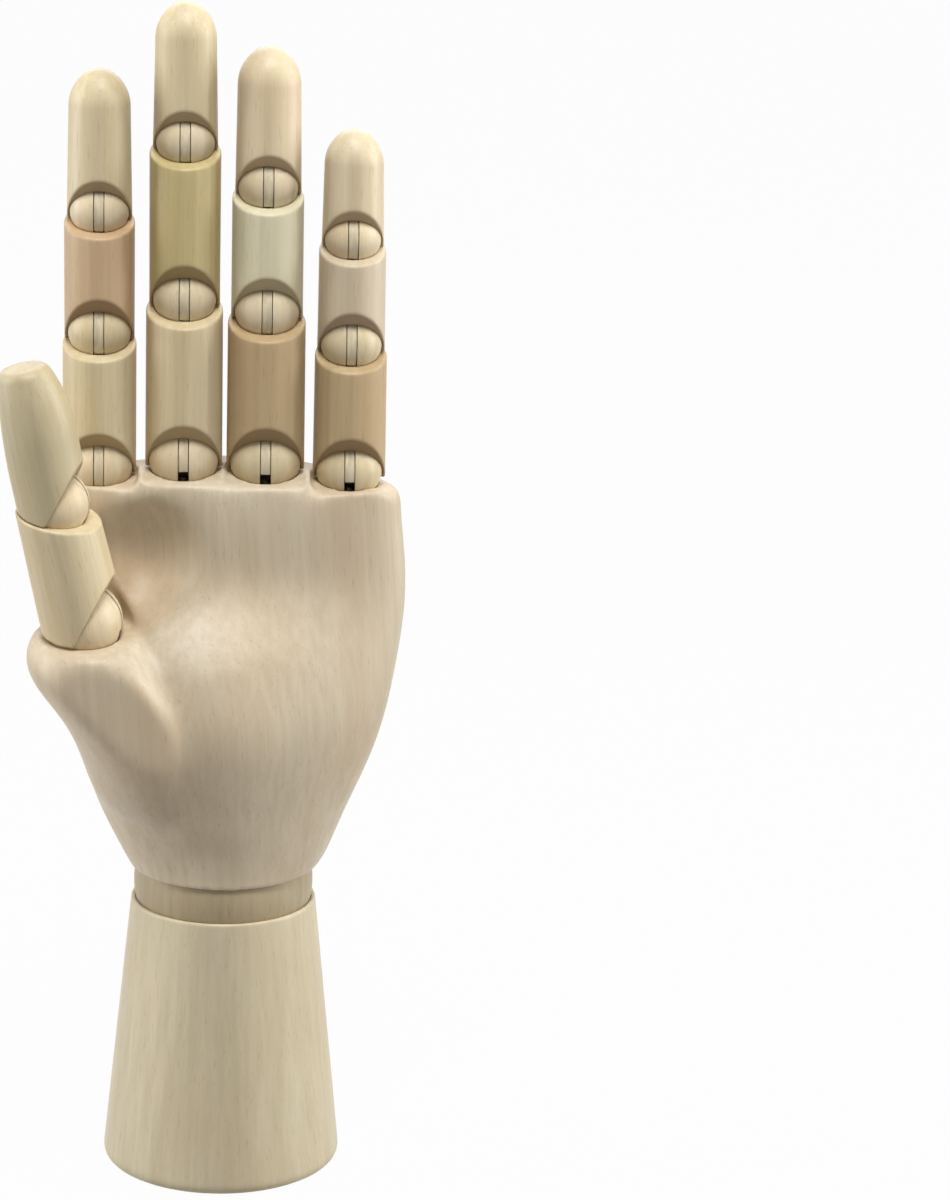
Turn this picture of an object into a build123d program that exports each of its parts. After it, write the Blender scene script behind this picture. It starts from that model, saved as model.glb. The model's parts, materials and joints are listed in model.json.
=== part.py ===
"""A jointed wooden hand standing upright on its forearm, in millimetres.

The origin is the centre of the forearm's flat underside and +Z points up the hand.
The palm faces -Y and the thumb is on the -X side.
Every finger piece is drawn about the centre of the ball that it turns on, with the
piece along +Z and its palm side towards -Y, and is then set in its place on the hand.
"""
import os
from dataclasses import dataclass
from math import acos, cos, pi, radians, sin, tan

from build123d import *

# Forearm
base_radius = 31.6
base_edge_radius = 2.5
forearm_top_radius = 24.0
forearm_height = 72.3
forearm_rim_radius = 0.5
bore_radius = 3.3
recess_radius = 13.0
recess_depth = 34.0

# Wrist ball and its steel parts
wrist_ball_inset = 0.7
wrist_band_height = 9.0
wrist_cup_clearance = 0.12
wrist_pin_radius = 2.5
wrist_pin_half_length = 16.0
wrist_link_thickness = 4.6
wrist_eye_radius = 6.0
wrist_neck_width = 8.0
wrist_shank_radius = 2.3
wrist_shank_length = 24.0
wrist_slot_clearance = 0.3
wrist_tilt = 18.0
bolt_radius = 3.0
bolt_depth_in_ball = 13.0
bolt_tail = 6.0
spring_wire_radius = 0.9
spring_mean_radius = 6.2
spring_turns = 5
spring_height = 20.0
washer_radius = 9.0
washer_thickness = 1.6
nut_across_flats = 10.0
nut_height = 5.0
nut_sides = 6
running_clearance = 0.05
seat_gap = 0.02

# Palm
palm_foot_inset = 0.1
palm_height = 106.6
palm_half_width = 46.0
palm_heel_depth = 25.0
palm_top_arch_radius = 180.0
palm_arch_x = -2.0
knuckle_recess_clearance = 0.5
knuckle_relief_start = 4.0
knuckle_relief_angle = 12.0

# Mound at the thumb's root and the hollow of the palm beside it
mound_foot_x = -13.0
mound_foot_y = -7.0
mound_foot_rise = 16.7
mound_neck_radius = 15.6
mound_neck_drop = 6.0
scoop_radius = 25.5
scoop_x = -21.0
scoop_y = -32.5
scoop_drop = 19.9

# Finger joints
ball_share = 0.91
centre_rise_share = 0.35
bevel_low_share = 0.13
link_head_share = 0.78
knuckle_head_share = 0.5
pin_reach_share = 0.82
slot_mouth_share = 0.62
stud_top_share = 0.6
bevel_angle = 52.0
rim_slant = 20.0
skirt_gap = 0.3
knuckle_gap = 0.9
cup_clearance = 0.12
rim_edge_radius = 0.7
link_thickness = 2.4
slot_clearance = 0.2
link_neck_width = 3.6
link_neck_reach = 5.0
pin_radius = 1.0
stud_radius = 1.3
stud_length = 12.0
spread_room = 6.0
dome_side_share = 1.3
dome_nose_share = 0.75

# Thumb
thumb_lean = 12.5
thumb_forward_lean = 5.5
thumb_facing = 14.0
thumb_slant = 12.0
thumb_rim_wall = 2.3
thumb_channel_clearance = 2.0
thumb_corner_radius = 3.2
thumb_pad_radius = 25.0
thumb_pad_drop = 20.0

overrun = 1.0
cutter_share = 8.0
UP = (Align.CENTER, Align.CENTER, Align.MIN)
DOWN = (Align.CENTER, Align.CENTER, Align.MAX)


@dataclass
class Finger:
    """Sizes of one finger, from the knuckle upwards.

    The seat is the middle of the first piece's lower rim, and its drop is measured from the
    top of the palm.
    """

    name: str
    x: float
    y: float
    seat_drop: float
    lengths: tuple
    foot_radii: tuple
    head_radii: tuple


INDEX = Finger(
    name="index",
    x=-32.3,
    y=0,
    seat_drop=3.1,
    lengths=(34.8, 30.8, 38.1),
    foot_radii=(9.24, 8.78, 8.22),
    head_radii=(9.28, 8.84, 7.7),
)
MIDDLE = Finger(
    name="middle",
    x=-11.0,
    y=0,
    seat_drop=1.4,
    lengths=(41.9, 39.8, 37.3),
    foot_radii=(9.76, 8.85, 8.18),
    head_radii=(9.65, 8.93, 7.6),
)
RING = Finger(
    name="ring",
    x=9.7,
    y=0,
    seat_drop=1.9,
    lengths=(39.4, 31.8, 37.5),
    foot_radii=(9.9, 9.04, 8.34),
    head_radii=(9.79, 8.96, 7.9),
)
PINKY = Finger(
    name="pinky",
    x=31.0,
    y=0,
    seat_drop=3.7,
    lengths=(33.1, 27.0, 30.2),
    foot_radii=(9.28, 8.57, 7.88),
    head_radii=(9.07, 8.39, 7.4),
)
THUMB = Finger(
    name="thumb",
    x=-35.0,
    y=-17.5,
    seat_drop=40.1,
    lengths=(32.6, 39.6),
    foot_radii=(11.0, 9.6),
    head_radii=(10.1, 9.3),
)
FINGERS = (INDEX, MIDDLE, RING, PINKY)
PIECES = {3: ("proximal", "middle", "distal"), 2: ("proximal", "distal")}
JOINTS = {3: ("knuckle", "lower", "upper"), 2: ("base", "upper")}

wrist_ball_radius = forearm_top_radius - wrist_ball_inset
wrist_ball_z = forearm_height + wrist_band_height / 2
palm_bottom_radius = forearm_top_radius - palm_foot_inset
palm_bottom_z = forearm_height + wrist_band_height
palm_top_z = palm_bottom_z + palm_height
solids = {}


def below(height, angle, size):
    """Block under a plane that crosses the axis at height and rises by angle towards +Y."""
    block = Box(size, size, size, align=DOWN)
    return Pos(0, 0, height) * Rot(X=angle) * block


def above(height, angle, size):
    """Block over a plane that crosses the axis at height and rises by angle towards +Y."""
    block = Box(size, size, size, align=UP)
    return Pos(0, 0, height) * Rot(X=angle) * block


def along_x(radius, length):
    """Cylinder centred on the origin along X."""
    return Rot(Y=90) * Cylinder(radius, length)


def ball_radius(foot_radius):
    """Radius of the ball under a piece whose foot has this radius."""
    return ball_share * foot_radius


def joint_ball(foot_radius, head_share):
    """Wooden ball with the slot for its link and the cross bore for the link's pin."""
    radius = ball_radius(foot_radius)
    slot_width = link_thickness + 2 * slot_clearance
    head_room = head_share * radius + slot_clearance
    neck_room = link_neck_width / 2 + slot_clearance
    mouth_low = slot_mouth_share * radius
    mouth = Box(
        slot_width,
        radius + overrun + neck_room,
        radius + overrun + mouth_low,
        align=(Align.CENTER, Align.MIN, Align.MIN),
    )
    mouth = Pos(0, -radius - overrun, -mouth_low) * mouth
    room_below = Box(
        slot_width + overrun,
        neck_room + radius,
        mouth_low,
        align=(Align.CENTER, Align.MIN, Align.MAX),
    )
    mouth -= Pos(0, -head_room / 2, -neck_room) * room_below
    bore_length = 2 * (pin_reach_share * radius + slot_clearance)
    ball = Sphere(radius) - along_x(head_room, slot_width) - mouth
    return ball - along_x(pin_radius + running_clearance, bore_length)


def stud_ball(foot_radius, slant):
    """Ball that rocks on a stud square to its socket's rim, with a slot for the stud underneath."""
    radius = ball_radius(foot_radius)
    half_width = stud_radius + radius * sin(radians(spread_room)) + slot_clearance
    slot = Box(2 * half_width, 2 * (stud_radius + slot_clearance), radius, align=DOWN)
    slot_top = stud_top_share * radius - slot_clearance
    return joint_ball(foot_radius, knuckle_head_share) - Rot(X=slant) * Pos(0, 0, -slot_top) * slot


def stud(foot_radius):
    """Steel stud that stands in the socket and reaches into the ball."""
    radius = ball_radius(foot_radius)
    top = stud_top_share * radius
    length = radius + stud_length - top
    return Pos(0, 0, -top) * Cylinder(stud_radius, length, align=DOWN)


def link(foot_radius, head_share):
    """Flat steel link with its cross pin: a round head in the ball, a neck up into the piece."""
    radius = ball_radius(foot_radius)
    head = along_x(head_share * radius, link_thickness)
    neck = Box(link_thickness, link_neck_width, radius + link_neck_reach, align=UP)
    return head + neck + along_x(pin_radius, 2 * pin_reach_share * radius)


def foot_cut(blank, foot_radius, slant, gap):
    """Cut the lower end of a piece: skirt behind, bevel in front, cup and pocket for the link."""
    radius = ball_radius(foot_radius)
    size = cutter_share * foot_radius
    rim = centre_rise_share * foot_radius
    blank -= below(gap / cos(radians(slant)) - rim, slant, size)
    blank -= below(bevel_low_share * foot_radius - rim, -bevel_angle, size)
    blank -= Sphere(radius + cup_clearance)
    pocket = Box(
        link_thickness + 2 * seat_gap,
        link_neck_width + 2 * seat_gap,
        radius + link_neck_reach + seat_gap,
        align=UP,
    )
    return blank - pocket


def round_piece(foot_radius, head_radius, length, slant, gap):
    """A finger piece with a slanted rim and a ball seat at its upper end."""
    bottom = -centre_rise_share * foot_radius - foot_radius * tan(radians(max(slant, rim_slant)))
    top = length + head_radius * tan(radians(rim_slant)) + overrun
    blank = Pos(0, 0, bottom) * Cone(foot_radius, head_radius, top - bottom, align=UP)
    blank -= above(length, rim_slant, cutter_share * foot_radius)
    rim_edge = blank.edges().sort_by(Axis.Z)[-1]
    blank = fillet(rim_edge, rim_edge_radius)
    return foot_cut(blank, foot_radius, slant, gap)


def seat_cut(piece, length, next_foot_radius):
    """Cut the seat that the next ball is glued into."""
    centre = length + centre_rise_share * next_foot_radius
    return piece - Pos(0, 0, centre) * Sphere(ball_radius(next_foot_radius) + seat_gap)


def dome_outline(radius, top):
    """Two tangent arcs that close a piece of this radius in a dome with its tip at top."""
    side_arc = dome_side_share * radius
    nose_arc = dome_nose_share * radius
    turn = acos((side_arc - radius) / (side_arc - nose_arc))
    height = (side_arc - nose_arc) * sin(turn) + nose_arc
    side_centre = (radius - side_arc, top - height)
    nose_centre = (0, top - nose_arc)
    start = on_circle(side_centre, side_arc, 0)
    middle = on_circle(side_centre, side_arc, turn / 2)
    joint = on_circle(side_centre, side_arc, turn)
    nose_middle = on_circle(nose_centre, nose_arc, (turn + pi / 2) / 2)
    return start, middle, joint, nose_middle


def on_circle(centre, radius, angle):
    """Point of a circle at an angle from the radial direction."""
    return centre[0] + radius * cos(angle), centre[1] + radius * sin(angle)


def tip_piece(foot_radius, dome_radius, length, slant, gap):
    """The end piece of a finger, which runs out in a dome."""
    bottom = -centre_rise_share * foot_radius - foot_radius * tan(radians(max(slant, rim_slant)))
    start, middle, joint, nose_middle = dome_outline(dome_radius, length)
    with BuildPart() as tip:
        with BuildSketch(Plane.XZ):
            with BuildLine():
                Line((0, bottom), (foot_radius, bottom))
                Line((foot_radius, bottom), start)
                ThreePointArc(start, middle, joint)
                ThreePointArc(joint, nose_middle, (0, length))
                Line((0, length), (0, bottom))
            make_face()
        revolve(axis=Axis.Z)
    return foot_cut(tip.part, foot_radius, slant, gap)


def thumb_tip_piece(foot_radius, tip_radius, length, slant, gap):
    """The thumb's end piece: straight behind, with a long rounded pad on the palm side."""
    bottom = -centre_rise_share * foot_radius - foot_radius * tan(radians(max(slant, rim_slant)))
    blank = Pos(0, 0, bottom) * Cone(foot_radius, tip_radius, length - bottom, align=UP)
    blank = fillet(blank.edges().filter_by(GeomType.CIRCLE).sort_by(Axis.Z)[-1], thumb_corner_radius)
    pad_z = length - thumb_pad_drop
    pad = along_x(thumb_pad_radius, cutter_share * foot_radius)
    pad = Pos(0, thumb_pad_radius - foot_radius, pad_z) * pad
    waste = Box(2 * foot_radius, 2 * foot_radius, thumb_pad_drop + overrun, align=UP)
    blank -= Pos(0, 0, pad_z) * waste - pad
    return foot_cut(blank, foot_radius, slant, gap)


def finger_solids(finger, place, slant, gap):
    """Make every piece of one finger and set it in its place."""
    count = len(finger.lengths)
    ball_z = 0
    for number in range(count):
        foot = finger.foot_radii[number]
        head = finger.head_radii[number]
        first = number == 0
        last = number == count - 1
        here = place * Pos(0, 0, ball_z)
        piece_slant = slant if first else rim_slant
        piece_gap = gap if first else skirt_gap
        rise = centre_rise_share * foot
        length = finger.lengths[number] - rise
        joint_name = f"{finger.name}_{JOINTS[count][number]}"
        head_share = knuckle_head_share if first else link_head_share
        if last and finger is THUMB:
            piece = thumb_tip_piece(foot, head, length, piece_slant, piece_gap)
        elif last:
            piece = tip_piece(foot, head, length, piece_slant, piece_gap)
        else:
            piece = round_piece(foot, head, length, piece_slant, piece_gap)
            piece = seat_cut(piece, length, finger.foot_radii[number + 1])
        ball = stud_ball(foot, slant) if first else joint_ball(foot, head_share)
        solids[f"{finger.name}_{PIECES[count][number]}"] = here * piece
        solids[f"{joint_name}_ball"] = here * ball
        solids[f"{joint_name}_link"] = here * link(foot, head_share)
        if not last:
            ball_z += length + centre_rise_share * finger.foot_radii[number + 1]


def knuckle_place(finger):
    """Place of a finger's first ball."""
    rise = centre_rise_share * finger.foot_radii[0]
    return Pos(finger.x, finger.y, palm_top_z - finger.seat_drop + rise)


def thumb_axis():
    """Direction of the thumb from its ball to its tip."""
    left = -tan(radians(thumb_lean))
    front = -tan(radians(thumb_forward_lean))
    return Vector(left, front, 1).normalized()


def thumb_place():
    """Place of the thumb's first ball, turned so that its palm side faces across the palm."""
    axis = thumb_axis()
    facing = Vector(cos(radians(thumb_facing)), -sin(radians(thumb_facing)), 0)
    facing = (facing - axis * facing.dot(axis)).normalized()
    rise = centre_rise_share * THUMB.foot_radii[0]
    centre = Vector(THUMB.x, THUMB.y, palm_top_z - THUMB.seat_drop) + axis * rise
    return Plane(origin=centre, x_dir=axis.cross(facing), z_dir=axis).location


def forearm():
    """Tapered forearm with the ball's cup on top and a recess for the spring underneath."""
    blank = Cone(base_radius, forearm_top_radius, forearm_height, align=UP)
    rings = blank.edges().filter_by(GeomType.CIRCLE).sort_by(Axis.Z)
    blank = fillet(rings[0], base_edge_radius)
    top_ring = blank.edges().filter_by(GeomType.CIRCLE).sort_by(Axis.Z)[-1]
    blank = fillet(top_ring, forearm_rim_radius)
    blank -= Pos(0, 0, wrist_ball_z) * Sphere(wrist_ball_radius + wrist_cup_clearance)
    blank -= Cylinder(bore_radius, forearm_height, align=UP)
    return blank - Cylinder(recess_radius, recess_depth, align=UP)


def wrist_ball():
    """Wrist ball with a slot over its centre for the link, a cross bore and a bore for the bolt."""
    slot_width = wrist_link_thickness + 2 * wrist_slot_clearance
    swing = wrist_ball_radius * tan(radians(wrist_tilt))
    half_slot = wrist_neck_width / 2 + swing + wrist_slot_clearance
    slot = Box(slot_width, 2 * half_slot, wrist_ball_radius + overrun, align=UP)
    ball = Sphere(wrist_ball_radius) - slot
    ball -= along_x(wrist_eye_radius + wrist_slot_clearance, slot_width)
    pin_bore_length = 2 * (wrist_pin_half_length + wrist_slot_clearance)
    ball -= along_x(wrist_pin_radius + running_clearance, pin_bore_length)
    bolt_hole = Cylinder(bolt_radius + seat_gap, wrist_ball_radius, align=DOWN)
    bolt_top = bolt_depth_in_ball - wrist_ball_radius
    return ball - Pos(0, 0, bolt_top) * bolt_hole


def wrist_link():
    """Link that tilts on the wrist pin and whose round shank turns in the palm."""
    eye = along_x(wrist_eye_radius, wrist_link_thickness)
    neck_top = wrist_ball_radius - overrun
    neck = Box(wrist_link_thickness, wrist_neck_width, neck_top, align=UP)
    shank_top = wrist_ball_radius + wrist_shank_length
    shank = Cylinder(wrist_shank_radius, shank_top, align=UP)
    hole = along_x(wrist_pin_radius + running_clearance, 2 * wrist_link_thickness)
    return eye + neck + shank - hole


def spring():
    """Coil spring between the recess roof and the washer."""
    pitch = (spring_height - 2 * spring_wire_radius) / spring_turns
    path = Helix(pitch=pitch, height=pitch * spring_turns, radius=spring_mean_radius)
    section = Plane(origin=path @ 0, z_dir=path % 0) * Circle(spring_wire_radius)
    return sweep(section, path=path)


def wrist_solids():
    """Wrist ball, link, pin, bolt, spring, washer and nut in their places."""
    centre = Pos(0, 0, wrist_ball_z)
    bolt_top = wrist_ball_z - wrist_ball_radius + bolt_depth_in_ball
    washer_top = recess_depth - spring_height
    washer_hole = Cylinder(bolt_radius + running_clearance, washer_thickness, align=DOWN)
    washer = Cylinder(washer_radius, washer_thickness, align=DOWN) - washer_hole
    nut_outline = RegularPolygon(nut_across_flats / 2, nut_sides, major_radius=False)
    nut = extrude(nut_outline, -nut_height) - Cylinder(bolt_radius + seat_gap, nut_height, align=DOWN)
    solids["forearm"] = forearm()
    solids["wrist_ball"] = centre * wrist_ball()
    solids["wrist_link"] = centre * wrist_link()
    solids["wrist_pin"] = centre * along_x(wrist_pin_radius, 2 * wrist_pin_half_length)
    solids["wrist_bolt"] = Pos(0, 0, bolt_top) * Cylinder(bolt_radius, bolt_top - bolt_tail, align=DOWN)
    solids["wrist_spring"] = Pos(0, 0, washer_top + spring_wire_radius) * spring()
    solids["wrist_washer"] = Pos(0, 0, washer_top) * washer
    solids["wrist_nut"] = Pos(0, 0, washer_top - washer_thickness) * nut


# Each row is a share of the palm's height, then the palm's reach to the little finger's side and
# to the thumb's side as shares of its half width, its reach to the front and to the back as
# shares of its heel's depth, and the power that makes the section square.
PALM_SECTION_SHARES = (
    (0.105, 0.65, 0.652, 0.984, 0.912, 2.0),
    (0.21, 0.754, 0.752, 1.0, 0.832, 2.05),
    (0.36, 0.885, 0.839, 0.976, 0.72, 2.1),
    (0.51, 0.959, 0.883, 0.84, 0.64, 2.2),
    (0.64, 1.0, 0.9, 0.64, 0.596, 2.4),
    (0.78, 0.998, 0.909, 0.52, 0.56, 2.7),
    (0.9, 0.97, 0.911, 0.492, 0.532, 2.9),
    (1.05, 0.948, 0.911, 0.48, 0.52, 3.0),
)
SECTION_POINTS = 24

# Each row is a share of the way from the mound's foot to the thumb's rim, and the mound's radius
# there as a share of its neck's radius.
MOUND_SHARES = (
    (0.0, 0.96),
    (0.31, 1.065),
    (0.64, 1.1),
)


def signed_power(value, power):
    """Power of a number that keeps its sign."""
    return abs(value) ** power * (1 if value >= 0 else -1)


def palm_section(height, right, left, front, back, power):
    """Rounded section of the palm with its own reach to each of its four sides."""
    points = []
    for number in range(SECTION_POINTS):
        angle = 2 * pi * number / SECTION_POINTS
        across = signed_power(cos(angle), 2 / power)
        deep = signed_power(sin(angle), 2 / power)
        x = across * (right if across > 0 else left)
        y = deep * (back if deep > 0 else front)
        points.append((x, y))
    with BuildSketch(Plane.XY.offset(height)) as section:
        with BuildLine():
            Spline(*points, periodic=True)
        make_face()
    return section.sketch


def palm_sections():
    """Every section of the palm, from its round foot on the wrist ball to its knuckles."""
    foot = [palm_bottom_radius] * 4
    sections = [palm_section(palm_bottom_z, *foot, 2)]
    for height_share, right_share, left_share, front_share, back_share, power in PALM_SECTION_SHARES:
        section = palm_section(
            palm_bottom_z + height_share * palm_height,
            right_share * palm_half_width,
            left_share * palm_half_width,
            front_share * palm_heel_depth,
            back_share * palm_heel_depth,
            power,
        )
        sections.append(section)
    return sections


def thumb_mound():
    """Mound at the thumb's root, which ends in the rim of the thumb's socket."""
    place = thumb_place()
    rim_plane = Plane(place)
    foot = THUMB.foot_radii[0]
    rim = centre_rise_share * foot
    rim_normal = Vector(0, -sin(radians(thumb_slant)), cos(radians(thumb_slant)))
    rim_centre = rim_plane.from_local_coords(Vector(0, 0, -rim))
    normal = rim_plane.from_local_coords(rim_normal) - rim_plane.origin
    mound_foot = Vector(mound_foot_x, mound_foot_y, palm_bottom_z + mound_foot_rise)
    faces = []
    for way_share, radius_share in MOUND_SHARES:
        centre = mound_foot + (rim_centre - mound_foot) * way_share
        direction = Vector(0, 0, 1) * (1 - way_share) + normal * way_share
        faces.append(Plane(origin=centre, z_dir=direction) * Circle(radius_share * mound_neck_radius))
    neck_centre = rim_centre - normal * mound_neck_drop
    faces.append(Plane(origin=neck_centre, z_dir=normal) * Circle(mound_neck_radius))
    faces.append(Plane(origin=rim_centre, z_dir=normal) * Circle(foot + thumb_rim_wall))
    return loft(faces), Plane(origin=place.position, z_dir=normal)


def palm():
    """Palm with the wrist cup, the thumb's socket and channel, and the four knuckle sockets."""
    body = loft(palm_sections())
    mound, turn_plane = thumb_mound()
    place = thumb_place()
    foot = THUMB.foot_radii[0]
    channel_radius = foot + thumb_channel_clearance
    rim = centre_rise_share * foot
    channel = Pos(0, 0, -2 * rim) * Cylinder(channel_radius, palm_height, align=UP)
    body = body - place * (channel - below(-rim, thumb_slant, palm_height))
    body -= Pos(scoop_x, scoop_y, palm_top_z - scoop_drop) * Sphere(scoop_radius)
    body += mound
    arch = Pos(palm_arch_x, 0, palm_top_z - palm_top_arch_radius) * Rot(X=90)
    waste = Pos(0, 0, palm_top_z) * Box(palm_height, palm_height, palm_half_width)
    body -= waste - arch * Cylinder(palm_top_arch_radius, 2 * palm_height)
    body -= Pos(0, 0, wrist_ball_z) * Sphere(wrist_ball_radius + wrist_cup_clearance)
    shank_room = wrist_ball_radius + wrist_shank_length + running_clearance
    shank_bore = Cylinder(wrist_shank_radius + running_clearance, shank_room, align=UP)
    body -= Pos(0, 0, wrist_ball_z) * shank_bore
    for finger in FINGERS:
        body = knuckle_socket(body, finger)
    body -= place * Sphere(ball_radius(foot) + cup_clearance)
    stud_depth = ball_radius(foot) + stud_length + running_clearance
    stud_bore = Cylinder(stud_radius + running_clearance, stud_depth, align=DOWN)
    return body - turn_plane.location * stud_bore


def knuckle_socket(body, finger):
    """Cut one knuckle's recess, ball socket and stud bore."""
    foot = finger.foot_radii[0]
    place = knuckle_place(finger)
    rim = centre_rise_share * foot
    reach = foot + knuckle_recess_clearance
    height = cutter_share * foot
    recess = Cylinder(reach, height)
    recess += Box(2 * reach, 2 * reach, height, align=(Align.CENTER, Align.MAX, Align.CENTER))
    relief_height = knuckle_relief_start * tan(radians(knuckle_relief_angle)) - rim
    body -= place * (recess - below(-rim, 0, 2 * height))
    body -= place * (recess - below(relief_height, knuckle_relief_angle, 2 * height))
    body -= place * Sphere(ball_radius(foot) + cup_clearance)
    depth = ball_radius(foot) + stud_length + seat_gap
    bore = Cylinder(stud_radius + seat_gap, depth, align=DOWN)
    return body - place * bore


def build():
    """Make every solid of the hand."""
    wrist_solids()
    solids["palm"] = palm()
    for finger in FINGERS:
        place = knuckle_place(finger)
        finger_solids(finger, place, 0, knuckle_gap)
        solids[f"{finger.name}_knuckle_stud"] = place * stud(finger.foot_radii[0])
    place = thumb_place()
    finger_solids(THUMB, place, thumb_slant, knuckle_gap)
    turn_plane = thumb_mound()[1]
    solids["thumb_base_stud"] = turn_plane.location * stud(THUMB.foot_radii[0])


build()
os.makedirs("parts", exist_ok=True)
for name, solid in solids.items():
    export_step(solid, f"parts/{name}.step")
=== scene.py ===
"""Looks of a jointed wooden hand that stands on its forearm, in metres.

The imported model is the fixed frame. The turned finger pieces, the slotted balls, the carved palm
and the turned forearm are modelled here over their solids, and every surface gets its wood,
lacquer or steel. The palm faces -Y and the thumb is on the -X side.
"""

import json
import logging
from dataclasses import dataclass, field
from enum import Enum
from math import acos, atan2, cos, pi, radians, sin, sqrt, tan

import bmesh
import bpy
import numpy as np
from mathutils import Matrix, Vector


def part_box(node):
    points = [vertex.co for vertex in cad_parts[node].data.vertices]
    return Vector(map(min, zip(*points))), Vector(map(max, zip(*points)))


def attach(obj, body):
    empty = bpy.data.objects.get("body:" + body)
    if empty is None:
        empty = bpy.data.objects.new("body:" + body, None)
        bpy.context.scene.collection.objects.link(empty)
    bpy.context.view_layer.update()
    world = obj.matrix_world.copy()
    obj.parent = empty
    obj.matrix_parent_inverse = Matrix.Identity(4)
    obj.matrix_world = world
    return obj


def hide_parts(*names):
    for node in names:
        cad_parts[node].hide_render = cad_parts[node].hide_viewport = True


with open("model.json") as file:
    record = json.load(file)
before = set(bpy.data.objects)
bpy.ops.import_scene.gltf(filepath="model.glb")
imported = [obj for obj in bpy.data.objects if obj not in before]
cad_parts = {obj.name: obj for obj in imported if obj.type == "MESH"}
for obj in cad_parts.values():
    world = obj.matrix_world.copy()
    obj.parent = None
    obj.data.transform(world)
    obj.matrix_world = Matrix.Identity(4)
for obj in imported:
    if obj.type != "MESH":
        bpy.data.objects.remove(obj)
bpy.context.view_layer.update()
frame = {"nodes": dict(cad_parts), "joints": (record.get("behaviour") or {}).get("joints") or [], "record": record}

MM = 0.001
LOG = logging.getLogger("wooden_hand")
# Point mark on the cups and bevels of the turned pieces, which their wood darkens: painted shade for the crescent
# under each joint
PAINTED_SHADE_ATTRIBUTE = "painted_shade"

# Ratios that every ball joint of the hand follows, as shares of the foot's radius
BALL_SHARE = 0.91
RISE_SHARE = 0.35
BEVEL_LOW_SHARE = 0.13

# Slopes and gaps that every ball joint follows
BEVEL_ANGLE = radians(52.0)
RIM_SLANT = radians(20.0)
SKIRT_GAP = 0.3 * MM
KNUCKLE_GAP = 0.9 * MM
CUP_CLEARANCE = 0.12 * MM
SEAT_CLEARANCE = 0.02 * MM

# Studs in the knuckle balls and the thumb's base ball
STUD_RADIUS = 1.3 * MM
STUD_TOP_SHARE = 0.6
STUD_ANGLE = radians(16.5)
SPREAD_ROOM = radians(6.0)

# Points of the dense curves that outlines are taken from
BOWL_POINTS = 60
SIDE_POINTS = 40
EDGE_POINTS = 30

# Points of the search for a cup's mouth, and steps of the search for an edge's outer end
SEARCH_POINTS = 400
SETTLE_STEPS = 6

# Rows of a turned piece's mesh: a ball's cup or seat, the edge beside it, the wall and the tip
BOWL_ROWS = 14
EDGE_ROWS = 6
WALL_ROWS = 16
TIP_ROWS = 34

# Fineness of the balls, and how far a cutter passes a surface, as a share of the radius
BALL_SEGMENTS = 96
BALL_RINGS = 64
CUTTER_SHARE = 1.2

# The most of a stretch that one corner's rounding takes, and how steep an edge has to be to stay sharp
CORNER_SHARE = 0.45
SHARP_ANGLE = radians(40.0)

# Seeds of the woods: the first piece of finger number n has n times SEEDS_PER_FINGER plus 1
SEEDS_PER_FINGER = 10
WRIST_SEED = 91


class Value:
    """A number that a node tree works out, so that its maths reads as plain Python."""

    def __init__(self, maker: "NodeMaker", socket: bpy.types.NodeSocket) -> None:
        """Wrap one output socket of a tree."""
        self.maker = maker
        self.socket = socket

    def _maths(self, operation: str, other: object) -> "Value":
        """Add one Math node on this value and a number or another Value."""
        return self.maker.value("ShaderNodeMath", {"operation": operation}, {0: self, 1: other})

    def __add__(self, other: object) -> "Value":
        """Sum."""
        return self._maths("ADD", other)

    def __sub__(self, other: object) -> "Value":
        """Difference."""
        return self._maths("SUBTRACT", other)

    def __mul__(self, other: object) -> "Value":
        """Product."""
        return self._maths("MULTIPLY", other)

    def __gt__(self, other: object) -> "Value":
        """1 where this is the greater, and 0 elsewhere."""
        return self._maths("GREATER_THAN", other)

    def limited(self, low: float, high: float) -> "Value":
        """Stretch the range from low to high over 0 to 1, and hold what lies outside it.

        Args:
            low: The value that gives 0.
            high: The value that gives 1.

        Returns:
            The stretched value.
        """
        sockets = {"Value": self, "From Min": low, "From Max": high}
        return self.maker.value("ShaderNodeMapRange", {"clamp": True}, sockets)


class NodeMaker:
    """A node tree whose nodes are each added with their settings and inputs in one call."""

    def __init__(self, tree: bpy.types.NodeTree) -> None:
        """Start on a tree."""
        self.tree = tree

    def connect(self, node: bpy.types.Node, sockets: dict) -> None:
        """Fill a node's inputs.

        Args:
            node: The node.
            sockets: Its inputs by name or number, each a number, a colour, a socket or a Value.
        """
        for key, given in sockets.items():
            given = given.socket if isinstance(given, Value) else given
            if isinstance(given, bpy.types.NodeSocket):
                self.tree.links.new(given, node.inputs[key])
            else:
                node.inputs[key].default_value = given

    def node(self, kind: str, settings: dict, sockets: dict) -> bpy.types.Node:
        """Add a node.

        Args:
            kind: The node's type.
            settings: Its properties, which are set first.
            sockets: Its inputs, as in connect.

        Returns:
            The new node.
        """
        made = self.tree.nodes.new(kind)
        for key, setting in settings.items():
            setattr(made, key, setting)
        self.connect(made, sockets)
        return made

    def value(self, kind: str, settings: dict, sockets: dict, output: int = 0) -> Value:
        """Add a node and wrap one of its outputs."""
        return Value(self, self.node(kind, settings, sockets).outputs[output])

    def vector(self, parts: dict) -> bpy.types.NodeSocket:
        """Vector of parts by axis number, where an axis that isn't named is 0."""
        return self.node("ShaderNodeCombineXYZ", {}, parts).outputs[0]

    def seen_by(self, *kinds: str) -> Value:
        """1 for light paths of the kinds that are named, and 0 for all others."""
        paths = self.node("ShaderNodeLightPath", {}, {}).outputs
        result = Value(self, paths[kinds[0]])
        for kind in kinds[1:]:
            sockets = {0: result, 1: paths[kind]}
            result = self.value("ShaderNodeMath", {"operation": "MAXIMUM"}, sockets)
        return result


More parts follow.
